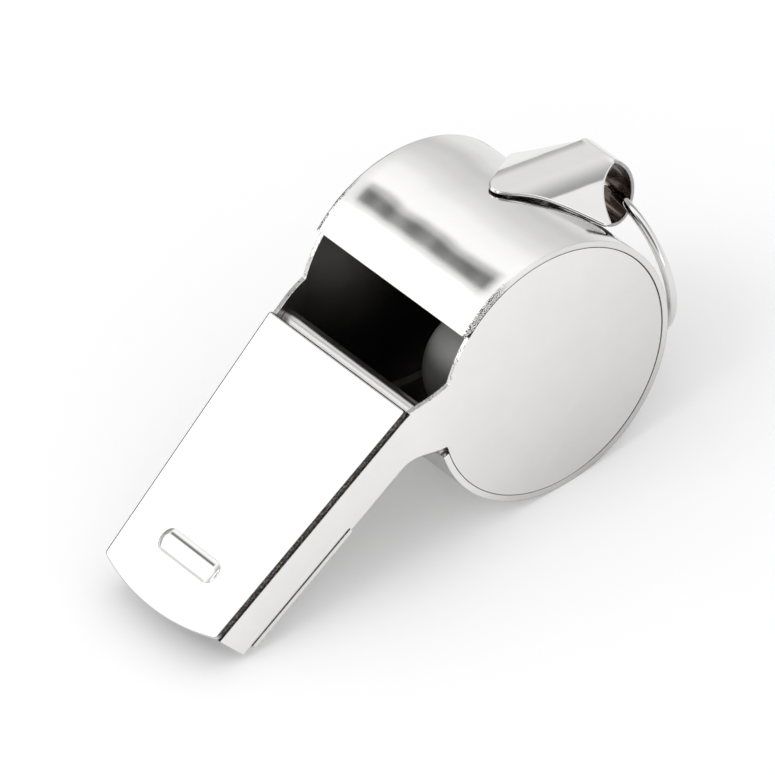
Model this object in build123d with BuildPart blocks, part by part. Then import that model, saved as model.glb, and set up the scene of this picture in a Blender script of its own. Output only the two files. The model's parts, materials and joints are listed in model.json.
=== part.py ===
from build123d import *
import os
from math import asin, atan2, cos, degrees, hypot, radians, sin, sqrt, tan

# A sheet-metal sports whistle: two side plates with arms, a band wrapped round them, a flat
# mouthpiece, a loose pea in the chamber, and a lug with a wire ring for a lanyard.
# The mouthpiece points to -X, the barrel's axis runs along Y, and the whistle lies on z = 0
# on the barrel and on the mouthpiece's lower lip.

# Driving dimensions, in millimetres and degrees

barrel_diameter = 22.0
barrel_width = 18.0
sheet = 0.5                    # thickness of the band's, the floor's and the mouthpiece's sheet
plate_sheet = 0.4              # thickness of the side plates
seam_gap = 0.04                # between a side plate's rim and the band round it

# Turns round the barrel's axis, in degrees from the direction that the mouthpiece's top looks in
blade_turn = 11.45             # the band's end over the window
blade_bevel = 0.8              # length of the bevel on that end
blade_edge_thickness = 0.1     # what the bevel leaves of the sheet
vee_turn = 32.45               # the notch of the side plates at the window
front_wall_turn = 48.45        # where the chamber's front wall turns down
notch_turn = 63.45             # where the arm's lower edge meets the disc
band_end_turn = 67.45          # the band's end under the mouthpiece

# Mouthpiece, measured along its flat top from the window, and down from that top
top_drop = 0.7                 # its plane, below the barrel's tangent plane
top_overlap = 1.85             # how far the top plate reaches behind the barrel's foremost line
top_length = 22.1              # along the top plate's side edges
neck_inset = 0.65              # from the barrel's side to the arm, at the top plate's rear end
tip_inset = 2.05               # and at its front corners
lip_bow = 1.15                 # how far the front edges bow out
mouth_depth = 4.05             # over both plates
arm_depth = 3.8                # the arms' open lower edge
arm_setback = 0.25             # the arms' lower front corner, behind their upper one
bottom_back = 9.5              # the bottom plate's rear edge
bottom_setback = 1.2           # its front corners, behind the top plate's
mouth_seam = 0.07              # between the arms and the bottom plate
scoop_run = 2.19               # from the disc's notch to where the arms' lower edge turns
scoop_radius = 3.0

tooth_bar_setback = 3.7        # behind the top plate's front corners
tooth_bar_length = 6.6
tooth_bar_width = 1.3
tooth_bar_height = 0.3
tooth_bar_draft = 40.0         # slope of its sides, in degrees
tooth_bar_wall = 0.35

# Windway
slit_height = 0.9              # under the top plate, at the window
slit_run = 1.2                 # the flat stretch of the windway's floor before the window
floor_lip = 0.6                # how far that floor reaches past the top plate
floor_lap = 2.5                # how far it lies on the bottom plate
floor_gap = 0.03               # between its edges and the arms
lip_radius = 0.35
front_wall_offset = 0.25       # how far the front wall's turn lies outside the band's middle
wall_radius = 1.2
ramp_radius = 4.0

# Pea and solder
pea_diameter = 10.0
pea_clearance = 0.3
barrel_fillet = 0.35           # legs of the solder fillets
mouth_fillet = 0.3
solder_gap = 0.02

# Lug, in a frame that is tangent to the barrel: along, across, and height over the axis
lug_angle = 77.3               # where the tongue lies on the barrel
lug_sheet = 0.35
lug_bed = 0.1                  # thickness of the solder under the tongue
crest_half_width = 2.2
wing_slope = 31.8
wing_bend_radius = 4.0
wing_gap = 0.05                # between the wings' edges and the barrel
tongue_start = 0.26
tongue_half_width = 1.2
tongue_shoulder = 1.1
wing_root = 2.3
wing_root_half_width = 2.0
wing_half_span = 5.9
wing_tip_radius = 0.3
wing_side_run = 0.6            # the straight stretch behind the wings' tips
scallop_depth = 0.7            # of the hollow curve from there to the eye
eye_half_width = 1.9
eye_inset = 0.45               # where the eye starts, in front of the barrel's rear tangent
eye_fold_radius = 0.5
eye_fold_turn = 30.0
eye_back_radius = 3.85
eye_back_turn = 75.0
eye_run = 0.5
eye_bottom_radius = 1.1
eye_bottom_turn = 150.0
eye_end_gap = 0.1
solder_back = 5.0
solder_half_width = 1.0
solder_end = 1.5               # how far the mouthpiece's fillets stop short of its lips

# Ring
ring_wire = 0.8
ring_middle_diameter = 13.24
ring_slit = 1.5                # degrees left open where the wire's ends meet
ring_reach = 1.16              # the wire's place behind the eye's start
ring_drop = 3.74               # and under the crest's top

# Derived places

barrel_radius = barrel_diameter / 2
chamber_radius = barrel_radius - sheet
disc_radius = chamber_radius - seam_gap
half_width = barrel_width / 2
pea_radius = pea_diameter / 2
top_height = barrel_radius - top_drop
window_reach = barrel_radius - top_overlap
bottom_top = mouth_depth - sheet
bottom_front = top_length - bottom_setback

# The mouthpiece slopes down until its lower lip is as low as the barrel
lip_reach = window_reach + bottom_front + lip_bow
lip_height = top_height - mouth_depth
mouth_slope = asin(barrel_radius / hypot(lip_reach, lip_height)) + atan2(lip_height, lip_reach)
mouth_along = (-cos(mouth_slope), -sin(mouth_slope))
mouth_up = (-sin(mouth_slope), cos(mouth_slope))

# Angles as seen from the near side, from +X towards +Z
mouth_angle = 90 + degrees(mouth_slope)
blade_angle = mouth_angle + blade_turn
vee_angle = mouth_angle + vee_turn
front_wall_angle = mouth_angle + front_wall_turn
notch_angle = mouth_angle + notch_turn
band_end_angle = mouth_angle + band_end_turn

lug_turn = radians(lug_angle - 90)
lug_along = (cos(lug_turn), sin(lug_turn))
lug_up = (-sin(lug_turn), cos(lug_turn))
crest_height = barrel_radius + lug_bed + lug_sheet
eye_start = barrel_radius - eye_inset


def mouth_point(along, up):
    """A side-view point of the mouthpiece, from the barrel's axis."""
    a = window_reach + along
    b = top_height + up
    return (a * mouth_along[0] + b * mouth_up[0], a * mouth_along[1] + b * mouth_up[1])


def rim_point(radius, angle):
    """A side-view point at a radius and an angle round the barrel's axis."""
    return (radius * cos(radians(angle)), radius * sin(radians(angle)))


def lug_point(along, height):
    """A side-view point of the lug, from the barrel's axis."""
    return (along * lug_along[0] + height * lug_up[0], along * lug_along[1] + height * lug_up[1])


# The eye's back wall is the rearmost point, and the top plate's lip the foremost one
eye_middle_height = crest_height - lug_sheet / 2
fold_turn = radians(eye_fold_turn)
eye_back_along = eye_start + eye_fold_radius * sin(fold_turn) - eye_back_radius * sin(fold_turn)
fold_drop = eye_fold_radius * (1 - cos(fold_turn))
eye_back_height = eye_middle_height - fold_drop - eye_back_radius * cos(fold_turn)
rear_reach = lug_point(eye_back_along, eye_back_height)[0] + eye_back_radius + lug_sheet / 2
front_reach = mouth_point(top_length + lip_bow, 0)[0]
axis_place = Vector(-(front_reach + rear_reach) / 2, 0, barrel_radius)


def placed(point, across=0.0):
    """A side-view point in the model's own frame."""
    return axis_place + Vector(point[0], across, point[1])


side_view = Plane(origin=axis_place, x_dir=(1, 0, 0), z_dir=(0, -1, 0))
barrel_axis = Axis(axis_place, (0, 1, 0))
mouth_direction = Vector(mouth_along[0], 0, mouth_along[1])
mouth_normal = Vector(mouth_up[0], 0, mouth_up[1])
lug_direction = Vector(lug_along[0], 0, lug_along[1])
lug_normal = Vector(lug_up[0], 0, lug_up[1])


def radial_plane(angle):
    """A plane through the barrel's axis: x runs outwards at that angle, y along the axis."""
    a = radians(angle)
    return Plane(origin=axis_place, x_dir=(cos(a), 0, sin(a)), z_dir=(-sin(a), 0, cos(a)))


# The arms bend inwards along lines parallel to the neck, which runs from the window's vee to the
# notch below, and the first bend starts there
vee = rim_point(disc_radius, vee_angle)
notch = rim_point(disc_radius, notch_angle)
neck_length = hypot(vee[0] - notch[0], vee[1] - notch[1])
neck_up = ((vee[0] - notch[0]) / neck_length, (vee[1] - notch[1]) / neck_length)
neck_out = (-neck_up[1], neck_up[0])
bend_plane = Plane(origin=placed(vee), x_dir=(neck_out[0], 0, neck_out[1]), z_dir=(neck_up[0], 0, neck_up[1]))


def neck_distance(point):
    """How far a side-view point lies in front of the neck."""
    return (point[0] - vee[0]) * neck_out[0] + (point[1] - vee[1]) * neck_out[1]


back_distance = neck_distance(mouth_point(0, -sheet))
tip_distance = neck_distance(mouth_point(top_length, -sheet))
back_half_width = half_width - neck_inset
arm_taper = (tip_inset - neck_inset) / (tip_distance - back_distance)


def arm_half_width(along, up):
    """Half the width over the arms at a point of the mouthpiece."""
    return back_half_width - arm_taper * (neck_distance(mouth_point(along, up)) - back_distance)


bend_reach = barrel_diameter + top_length
bend_corner = back_distance / 3
neck_turn = atan2(neck_inset, back_distance - bend_corner)
bend_radius = bend_corner / tan(neck_turn / 2)


def bend_line(inset):
    """The arms' bent line seen along the neck, at a depth inside their outer faces."""
    far_half_width = back_half_width - arm_taper * (bend_reach - back_distance)
    return [
        (-bend_reach, half_width - inset),
        (bend_corner, half_width - inset),
        (back_distance, back_half_width - inset),
        (bend_reach, far_half_width - inset),
    ]


# Barrel band, bevelled inside to a blade over the window

band_turn = blade_angle + 360 - band_end_angle

with BuildPart() as barrel_band:
    with BuildSketch(radial_plane(blade_angle)):
        with BuildLine():
            Polyline(
                (chamber_radius, -half_width),
                (chamber_radius, half_width),
                (barrel_radius, half_width),
                (barrel_radius, -half_width),
                close=True,
            )
        make_face()
    revolve(axis=barrel_axis, revolution_arc=band_turn)
    blade_place = placed(rim_point(chamber_radius, blade_angle))
    blade_face = barrel_band.faces().filter_by(GeomType.PLANE).sort_by_distance(blade_place)[0]
    blade_edge = blade_face.edges().filter_by(Axis.Y).sort_by_distance(blade_place)[0]
    chamfer(blade_edge, length=sheet - blade_edge_thickness, length2=blade_bevel, reference=blade_face)
barrel_band.part.label = "barrel_band"

# Side plates: a disc and a bent arm cut from one sheet

notch_along = notch[0] * mouth_along[0] + notch[1] * mouth_along[1] - window_reach
scoop_corner = mouth_point(notch_along + scoop_run, -arm_depth)
arm_foot = mouth_seam - bottom_top

with BuildPart() as right_side_plate:
    with BuildSketch(side_view) as plate_outline:
        with BuildLine():
            Polyline(
                (0, 0),
                vee,
                mouth_point(0, -sheet),
                mouth_point(top_length, -sheet),
                mouth_point(top_length - arm_setback, arm_foot),
                mouth_point(bottom_back, arm_foot),
                mouth_point(bottom_back, -arm_depth),
                scoop_corner,
                notch,
                close=True,
            )
        make_face()
        fillet(plate_outline.vertices().sort_by_distance(Vector(*scoop_corner))[0], scoop_radius)
        Circle(disc_radius)
    extrude(amount=barrel_width)
    with BuildSketch(bend_plane):
        with BuildLine():
            FilletPolyline(*bend_line(plate_sheet / 2), radius=bend_radius)
        trace(line_width=plate_sheet)
    extrude(amount=bend_reach, both=True, mode=Mode.INTERSECT)
right_side_plate.part.label = "right_side_plate"

with BuildPart() as left_side_plate:
    mirror(right_side_plate.part, about=Plane.XZ)
left_side_plate.part.label = "left_side_plate"

# Mouthpiece plates, flush with the arms, each with a pressed tooth bar

top_plane = Plane(origin=placed(mouth_point(0, -sheet)), x_dir=mouth_direction, z_dir=mouth_normal)
bottom_plane = Plane(origin=placed(mouth_point(0, -mouth_depth)), x_dir=mouth_direction, z_dir=mouth_normal)


def lip_outline(plane, back, back_half, front, front_half):
    """A tapered plate whose front edge bows out."""
    with BuildSketch(plane) as outline:
        with BuildLine():
            Polyline((front, front_half), (back, back_half), (back, -back_half), (front, -front_half))
            ThreePointArc((front, -front_half), (front + lip_bow, 0), (front, front_half))
        make_face()
    return outline.sketch


def tooth_bar(plane, inset):
    """The tooth bar's oblong, drawn in by an inset."""
    with BuildSketch(plane) as oblong:
        with Locations((top_length - tooth_bar_setback, 0)):
            SlotOverall(tooth_bar_length - 2 * inset, tooth_bar_width - 2 * inset, rotation=90)
    return oblong.sketch


tip_half_width = arm_half_width(top_length, -sheet)
top_outline = lip_outline(top_plane, 0, back_half_width, top_length, tip_half_width)

with BuildPart() as mouthpiece_top_plate:
    extrude(top_outline, amount=sheet)
    extrude(tooth_bar(top_plane.offset(sheet), 0), amount=tooth_bar_height, taper=tooth_bar_draft)
    bar_hollow = tooth_bar(top_plane, tooth_bar_wall)
    extrude(bar_hollow, amount=tooth_bar_height, mode=Mode.SUBTRACT)
mouthpiece_top_plate.part.label = "mouthpiece_top_plate"

bottom_back_half = arm_half_width(bottom_back, -bottom_top)
bottom_front_half = arm_half_width(bottom_front, -bottom_top)

bottom_outline = lip_outline(bottom_plane, bottom_back, bottom_back_half, bottom_front, bottom_front_half)

with BuildPart() as mouthpiece_bottom_plate:
    extrude(bottom_outline, amount=sheet)
    extrude(tooth_bar(bottom_plane, 0), amount=-tooth_bar_height, taper=tooth_bar_draft)
    bar_hollow = tooth_bar(bottom_plane.offset(sheet), tooth_bar_wall)
    extrude(bar_hollow, amount=-tooth_bar_height, mode=Mode.SUBTRACT)
mouthpiece_bottom_plate.part.label = "mouthpiece_bottom_plate"

# Windway floor: laps on the bottom plate, climbs to the slit and turns down as the chamber's front wall

floor_middle = -sheet - slit_height - sheet / 2
band_middle_radius = barrel_radius - sheet / 2
wall_end_angle = band_end_angle - degrees(floor_gap / band_middle_radius)

with BuildPart() as windway_floor:
    with BuildSketch(side_view):
        with BuildLine():
            FilletPolyline(
                mouth_point(bottom_back + floor_lap, -bottom_top + sheet / 2),
                mouth_point(bottom_back, -bottom_top + sheet / 2),
                mouth_point(slit_run, floor_middle),
                mouth_point(-floor_lip, floor_middle),
                rim_point(band_middle_radius + front_wall_offset, front_wall_angle),
                rim_point(band_middle_radius, wall_end_angle),
                radius=[ramp_radius, ramp_radius, lip_radius, wall_radius],
            )
        trace(line_width=sheet)
    extrude(amount=half_width, both=True)
    with BuildSketch(bend_plane):
        with BuildLine():
            near_points = bend_line(plate_sheet + floor_gap)
            far_points = [(x, -y) for x, y in near_points]
            near_line = FilletPolyline(*near_points, radius=bend_radius)
            far_line = FilletPolyline(*far_points, radius=bend_radius)
            Line(near_line @ 0, far_line @ 0)
            Line(near_line @ 1, far_line @ 1)
        make_face()
    extrude(amount=bend_reach, both=True, mode=Mode.INTERSECT)
windway_floor.part.label = "windway_floor"

# Pea, lying at the bottom of the chamber

pea_orbit = chamber_radius - pea_clearance - pea_radius

with BuildPart() as pea:
    with Locations(placed((0, -pea_orbit))):
        Sphere(pea_radius)
pea.part.label = "pea"

# Lanyard lug: a tongue with two wings on the barrel, and a strip rolled into an eye behind it

crest_plane = Plane(origin=axis_place, x_dir=(0, 1, 0), z_dir=lug_direction)
plan_plane = Plane(origin=axis_place, x_dir=lug_direction, z_dir=lug_normal)
eye_plane = Plane(origin=axis_place, x_dir=lug_direction, z_dir=(0, -1, 0))
wing_drop = half_width * tan(radians(wing_slope))
wing_underside = eye_middle_height - lug_sheet / 2 / cos(radians(wing_slope)) - wing_gap


def wing_along(half_span):
    """Where the underside of a wing comes down to the barrel, at a distance from the middle."""
    height = wing_underside - (half_span - crest_half_width) * tan(radians(wing_slope))
    return sqrt(barrel_radius**2 - height**2)


wing_middle_span = (wing_root_half_width + wing_half_span) / 2
wing_rear = (wing_along(wing_half_span) + wing_side_run, wing_half_span)

with BuildPart() as lanyard_lug:
    with BuildSketch(crest_plane):
        with BuildLine():
            FilletPolyline(
                (-crest_half_width - half_width, eye_middle_height - wing_drop),
                (-crest_half_width, eye_middle_height),
                (crest_half_width, eye_middle_height),
                (crest_half_width + half_width, eye_middle_height - wing_drop),
                radius=wing_bend_radius,
            )
        trace(line_width=lug_sheet)
    extrude(amount=eye_start)
    with BuildSketch(plan_plane) as wing_outline:
        with BuildLine():
            Spline(
                (tongue_shoulder, tongue_half_width),
                (wing_root, wing_root_half_width),
                (wing_along(wing_middle_span), wing_middle_span),
                (wing_along(wing_half_span), wing_half_span),
            )
            Line((wing_along(wing_half_span), wing_half_span), wing_rear)
            SagittaArc(wing_rear, (eye_start, eye_half_width), -scallop_depth)
            mirror(about=Plane.XZ)
            Line((eye_start, -eye_half_width), (eye_start, eye_half_width))
            ThreePointArc(
                (tongue_shoulder, -tongue_half_width),
                (tongue_start, 0),
                (tongue_shoulder, tongue_half_width),
            )
        make_face()
        for side in (-1, 1):
            tip = Vector(wing_rear[0], side * wing_rear[1])
            fillet(wing_outline.vertices().sort_by_distance(tip)[0], wing_tip_radius)
    extrude(amount=crest_height + lug_sheet, mode=Mode.INTERSECT)
    with BuildSketch(side_view):
        Circle(barrel_radius)
    extrude(amount=half_width, both=True, mode=Mode.SUBTRACT)
    with BuildSketch(eye_plane):
        with BuildLine():
            crest_run = Line((eye_start - lug_sheet, eye_middle_height), (eye_start, eye_middle_height))
            fold = JernArc(crest_run @ 1, crest_run % 1, eye_fold_radius, -eye_fold_turn)
            eye_back = JernArc(fold @ 1, fold % 1, eye_back_radius, -eye_back_turn)
            lower_run = Line(eye_back @ 1, eye_back @ 1 + (eye_back % 1) * eye_run)
            eye_bottom = JernArc(lower_run @ 1, lower_run % 1, eye_bottom_radius, -eye_bottom_turn)
            end_way = eye_bottom % 1
            climb = (crest_height - lug_sheet - eye_end_gap - (eye_bottom @ 1).Y) / end_way.Y
            Line(eye_bottom @ 1, eye_bottom @ 1 + end_way * climb)
        trace(line_width=lug_sheet)
    extrude(amount=eye_half_width, both=True)
lanyard_lug.part.label = "lanyard_lug"

with BuildPart() as lug_solder:
    with BuildSketch(plan_plane):
        with Locations(((tongue_shoulder + solder_back) / 2, 0)):
            Rectangle(solder_back - tongue_shoulder, 2 * solder_half_width)
    extrude(amount=barrel_radius + lug_bed)
    with BuildSketch(side_view):
        Circle(barrel_radius + solder_gap)
    extrude(amount=half_width, both=True, mode=Mode.SUBTRACT)
lug_solder.part.label = "lug_solder"

# Solder fillets inside the barrel and the mouthpiece

with BuildPart() as right_barrel_solder:
    with BuildSketch(radial_plane(blade_angle)):
        with BuildLine():
            fillet_radius = chamber_radius - solder_gap
            fillet_edge = half_width - plate_sheet - solder_gap
            Polyline(
                (fillet_radius, -fillet_edge),
                (fillet_radius - barrel_fillet, -fillet_edge),
                (fillet_radius, -fillet_edge + barrel_fillet),
                close=True,
            )
        make_face()
    revolve(axis=barrel_axis, revolution_arc=band_turn)
right_barrel_solder.part.label = "right_barrel_solder"

with BuildPart() as left_barrel_solder:
    mirror(right_barrel_solder.part, about=Plane.XZ)
left_barrel_solder.part.label = "left_barrel_solder"


def corner_section(along, depth, side, into):
    """A solder fillet's section where an arm meets a plate, at a depth under the mouthpiece's top."""
    plane = Plane(origin=placed(mouth_point(along, 0)), x_dir=(0, 1, 0), z_dir=mouth_direction)
    corner_depth = depth + into * solder_gap
    leg_depth = corner_depth + into * mouth_fillet
    corner_half = arm_half_width(along, -corner_depth) - plate_sheet - floor_gap
    leg_half = arm_half_width(along, -leg_depth) - plate_sheet - floor_gap
    with BuildSketch(plane) as section:
        with BuildLine():
            Polyline(
                (side * corner_half, corner_depth),
                (side * (corner_half - mouth_fillet), corner_depth),
                (side * leg_half, leg_depth),
                close=True,
            )
        make_face()
    return section.sketch


bottom_solder_back = bottom_back + floor_lap + solder_end

with BuildPart() as mouthpiece_solder:
    for side in (-1, 1):
        loft(
            [
                corner_section(slit_run, sheet, side, 1),
                corner_section(top_length - solder_end, sheet, side, 1),
            ],
            ruled=True,
        )
        loft(
            [
                corner_section(bottom_solder_back, bottom_top, side, -1),
                corner_section(bottom_front - solder_end, bottom_top, side, -1),
            ],
            ruled=True,
        )
mouthpiece_solder.part.label = "mouthpiece_solder"

# Lanyard ring: one turn of round wire, hanging plumb from the eye, its ends meeting at the bottom

ring_radius = ring_middle_diameter / 2
ring_hang = lug_point(eye_start + ring_reach, crest_height - ring_drop)
ring_middle = placed((ring_hang[0], ring_hang[1] - ring_radius))

with BuildPart() as lanyard_ring:
    with BuildSketch(Plane(origin=ring_middle - Vector(0, 0, ring_radius), x_dir=(1, 0, 0), z_dir=(0, 1, 0))):
        Circle(ring_wire / 2)
    revolve(axis=Axis(ring_middle, (1, 0, 0)), revolution_arc=360 - ring_slit)
lanyard_ring.part.label = "lanyard_ring"

print("slope of the mouthpiece", round(degrees(mouth_slope), 2), "degrees")
print("barrel axis", axis_place)
print("ring axis", placed(ring_hang))

os.makedirs("parts", exist_ok=True)
export_step(barrel_band.part, "parts/barrel_band.step")
export_step(right_side_plate.part, "parts/right_side_plate.step")
export_step(left_side_plate.part, "parts/left_side_plate.step")
export_step(mouthpiece_top_plate.part, "parts/mouthpiece_top_plate.step")
export_step(mouthpiece_bottom_plate.part, "parts/mouthpiece_bottom_plate.step")
export_step(windway_floor.part, "parts/windway_floor.step")
export_step(pea.part, "parts/pea.step")
export_step(lanyard_lug.part, "parts/lanyard_lug.step")
export_step(lanyard_ring.part, "parts/lanyard_ring.step")
export_step(lug_solder.part, "parts/lug_solder.step")
export_step(right_barrel_solder.part, "parts/right_barrel_solder.step")
export_step(left_barrel_solder.part, "parts/left_barrel_solder.step")
export_step(mouthpiece_solder.part, "parts/mouthpiece_solder.step")
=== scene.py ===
"""A bright sheet-metal sports whistle on a white table: finishes, studio light and camera."""

import json
from math import cos, pi, radians, sin, tan

import bmesh
import bpy
import numpy as np
from mathutils import Matrix, Vector


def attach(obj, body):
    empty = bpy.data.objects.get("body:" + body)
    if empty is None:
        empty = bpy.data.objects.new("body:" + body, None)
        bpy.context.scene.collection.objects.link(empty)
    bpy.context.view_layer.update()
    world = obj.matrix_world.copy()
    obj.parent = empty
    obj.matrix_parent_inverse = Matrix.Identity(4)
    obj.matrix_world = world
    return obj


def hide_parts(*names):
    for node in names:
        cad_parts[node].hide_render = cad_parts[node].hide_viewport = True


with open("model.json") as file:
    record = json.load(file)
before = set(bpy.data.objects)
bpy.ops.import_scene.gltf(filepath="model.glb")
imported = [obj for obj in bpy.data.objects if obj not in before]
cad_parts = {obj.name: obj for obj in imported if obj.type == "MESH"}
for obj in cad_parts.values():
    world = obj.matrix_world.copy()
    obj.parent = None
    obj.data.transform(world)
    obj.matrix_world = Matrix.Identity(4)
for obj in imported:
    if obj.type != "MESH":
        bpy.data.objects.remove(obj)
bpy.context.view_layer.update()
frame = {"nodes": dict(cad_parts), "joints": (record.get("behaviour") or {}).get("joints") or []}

MM = 0.001
PER_MM = 1000.0

# Places taken from the frame, and the slopes of the mouthpiece and of the lug

joint_places = {joint["name"]: Vector(joint["pos_m"]) for joint in frame["joints"]}
barrel_axis = joint_places["pea_roll"]
ACROSS = (0, 1, 0)

MOUTH_SLOPE = radians(31.55)
mouth_along = Vector((-cos(MOUTH_SLOPE), 0, -sin(MOUTH_SLOPE)))
mouth_up = Vector((-sin(MOUTH_SLOPE), 0, cos(MOUTH_SLOPE)))

LUG_TURN = radians(-12.7)
lug_along = Vector((cos(LUG_TURN), 0, sin(LUG_TURN)))
lug_up = Vector((-sin(LUG_TURN), 0, cos(LUG_TURN)))

# Sizes that the finishes share with the pieces. Heights and reaches are from the barrel's axis

BARREL_HALF_WIDTH = 9.0 * MM
DISC_RADIUS = 10.46 * MM
SHEET = 0.5 * MM
WINDOW_REACH = 9.15 * MM
TOP_HEIGHT = 10.3 * MM
TOP_LENGTH = 22.1 * MM
TOP_BACK_HALF = 8.35 * MM
TOP_FRONT_HALF = 6.95 * MM
TOP_CORNER = 0.18 * MM
MOUTH_DEPTH = 3.55 * MM
BOTTOM_HEIGHT = TOP_HEIGHT - MOUTH_DEPTH
BAR_SETBACK = 3.7 * MM
BAR_HALF_RUN = 2.6 * MM
BAR_HALF_WIDTH = 1.0 * MM
EYE_START = 10.55 * MM
EYE_MIDDLE_REACH = 10.3 * MM
EYE_MIDDLE_HEIGHT = 8.6 * MM
eye_middle = barrel_axis + EYE_MIDDLE_REACH * lug_along + EYE_MIDDLE_HEIGHT * lug_up

# Camera: where it stands round the barrel's axis, and its lens on a 36 mm sensor

VIEW_AZIMUTH = radians(-32.321)
VIEW_ELEVATION = radians(40.352)
VIEW_ROLL = radians(-9.002)
VIEW_DISTANCE = 954.7 * MM
VIEW_SHIFT_RIGHT = -6.997 * MM
VIEW_SHIFT_UP = -5.295 * MM
VIEW_LENS = 586.2
VIEW_SENSOR = 36.0
VIEW_NEAREST = 0.01
VIEW_FARTHEST = 20.0
view_back = Vector((
    sin(VIEW_AZIMUTH) * cos(VIEW_ELEVATION),
    -cos(VIEW_AZIMUTH) * cos(VIEW_ELEVATION),
    sin(VIEW_ELEVATION),
))


def make_camera():
    """A long lens at the photograph's viewing angle, rolled a little."""
    level_right = Vector((cos(VIEW_AZIMUTH), sin(VIEW_AZIMUTH), 0))
    level_up = view_back.cross(level_right)
    right = cos(VIEW_ROLL) * level_right + sin(VIEW_ROLL) * level_up
    up = cos(VIEW_ROLL) * level_up - sin(VIEW_ROLL) * level_right
    lens = bpy.data.cameras.new("view")
    lens.lens = VIEW_LENS
    lens.sensor_width = VIEW_SENSOR
    lens.clip_start = VIEW_NEAREST
    lens.clip_end = VIEW_FARTHEST
    camera = bpy.data.objects.new("view", lens)
    turn = Matrix((right, up, view_back)).transposed().to_4x4()
    place = barrel_axis + VIEW_SHIFT_RIGHT * right + VIEW_SHIFT_UP * up + VIEW_DISTANCE * view_back
    camera.matrix_world = Matrix.Translation(place) @ turn
    bpy.context.scene.collection.objects.link(camera)
    bpy.context.scene.camera = camera


# Node helpers


def node(tree, kind, **settings):
    """A new node with its settings."""
    made = tree.nodes.new(kind)
    for name, value in settings.items():
        setattr(made, name, value)
    return made


def feed(tree, socket, value):
    """Links an output to a socket, or sets the socket to a plain value."""
    if isinstance(value, bpy.types.NodeSocket):
        tree.links.new(value, socket)
    else:
        socket.default_value = value


def math(tree, operation, first, second=None, third=None, clamp=False):
    """The output of a Math node."""
    made = node(tree, "ShaderNodeMath", operation=operation, use_clamp=clamp)
    for socket, value in zip(made.inputs, (first, second, third)):
        if value is not None:
            feed(tree, socket, value)
    return made.outputs[0]


def opposite(tree, share):
    """One minus a share."""
    return math(tree, "SUBTRACT", 1.0, share)


def vector_math(tree, operation, first, second=None):
    """The vector output of a Vector Math node."""
    made = node(tree, "ShaderNodeVectorMath", operation=operation)
    feed(tree, made.inputs[0], first)
    if second is not None:
        feed(tree, made.inputs[1], second)
    return made.outputs["Vector"]


def dot(tree, first, second):
    """The dot product of two directions."""
    made = node(tree, "ShaderNodeVectorMath", operation="DOT_PRODUCT")
    feed(tree, made.inputs[0], first)
    feed(tree, made.inputs[1], second)
    return made.outputs["Value"]


def parts_of(tree, vector):
    """A vector's three coordinates."""
    made = node(tree, "ShaderNodeSeparateXYZ")
    feed(tree, made.inputs[0], vector)
    return made.outputs


def smooth(tree, value, low, high, start=0.0, end=1.0):
    """A value carried smoothly from start to end while it goes from low to high."""
    made = node(tree, "ShaderNodeMapRange", interpolation_type="SMOOTHSTEP")
    feed(tree, made.inputs["Value"], value)
    for name, number in (("From Min", low), ("From Max", high), ("To Min", start), ("To Max", end)):
        made.inputs[name].default_value = number
    return made.outputs["Result"]


def mix_colour(tree, share, first, second):
    """Two colours mixed by a share."""
    made = node(tree, "ShaderNodeMix", data_type="RGBA")
    feed(tree, made.inputs["Factor"], share)
    feed(tree, made.inputs[6], first)
    feed(tree, made.inputs[7], second)
    return made.outputs[2]


def noise(tree, place, scale, detail=2.0, roughness=0.5):
    """A noise value on a place, with its scale per millimetre."""
    made = node(tree, "ShaderNodeTexNoise")
    feed(tree, made.inputs["Vector"], place)
    made.inputs["Scale"].default_value = scale * PER_MM
    made.inputs["Detail"].default_value = detail
    made.inputs["Roughness"].default_value = roughness
    return made.outputs["Fac"]


def place_of(tree):
    """The place on the whistle, at rest."""
    return node(tree, "ShaderNodeTexCoord").outputs["Object"]


def normal_of(tree):
    """The direction that the surface looks in."""
    return node(tree, "ShaderNodeTexCoord").outputs["Normal"]


def from_barrel(tree):
    """The way from the middle of the barrel to the place on the whistle."""
    return vector_math(tree, "SUBTRACT", place_of(tree), barrel_axis)


def round_barrel(tree, way):
    """A way from the barrel's middle, without its part along the barrel's axis."""
    return vector_math(tree, "MULTIPLY", way, (1, 0, 1))


FLOAT = "NodeSocketFloat"
COLOUR = "NodeSocketColor"
VECTOR = "NodeSocketVector"


def new_group(name, inputs, outputs):
    """An empty shader group with named sockets."""
    group = bpy.data.node_groups.new(name, "ShaderNodeTree")
    for title, kind in inputs:
        group.interface.new_socket(title, in_out="INPUT", socket_type=kind)
    for title, kind in outputs:
        group.interface.new_socket(title, in_out="OUTPUT", socket_type=kind)
    return group, node(group, "NodeGroupInput").outputs, node(group, "NodeGroupOutput").inputs


def add_group(tree, group, **values):
    """A shared effect in a material, with its inputs, and its outputs to read from."""
    made = node(tree, "ShaderNodeGroup", node_tree=group)
    for name, value in values.items():
        feed(tree, made.inputs[name], value)
    return made.outputs


def new_material(name):
    """A material with only its output and a Principled shader."""
    material = bpy.data.materials.new(name)
    material.use_nodes = True
    tree = material.node_tree
    tree.nodes.clear()
    output = node(tree, "ShaderNodeOutputMaterial")
    shader = node(tree, "ShaderNodeBsdfPrincipled")
    tree.links.new(shader.outputs[0], output.inputs["Surface"])
    return material, tree, shader


# Shared effects

CLOUDY = {"detail": 4.0, "roughness": 0.6}
WAVES_PER_MM = 0.4
WAVE_HEIGHT = 0.05 * MM
GRAINS_PER_MM = 5.0
GRAIN_HEIGHT = 0.0012 * MM
PATCHES_PER_MM = 0.5
PATCH_ROUGHNESS = 0.06


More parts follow.
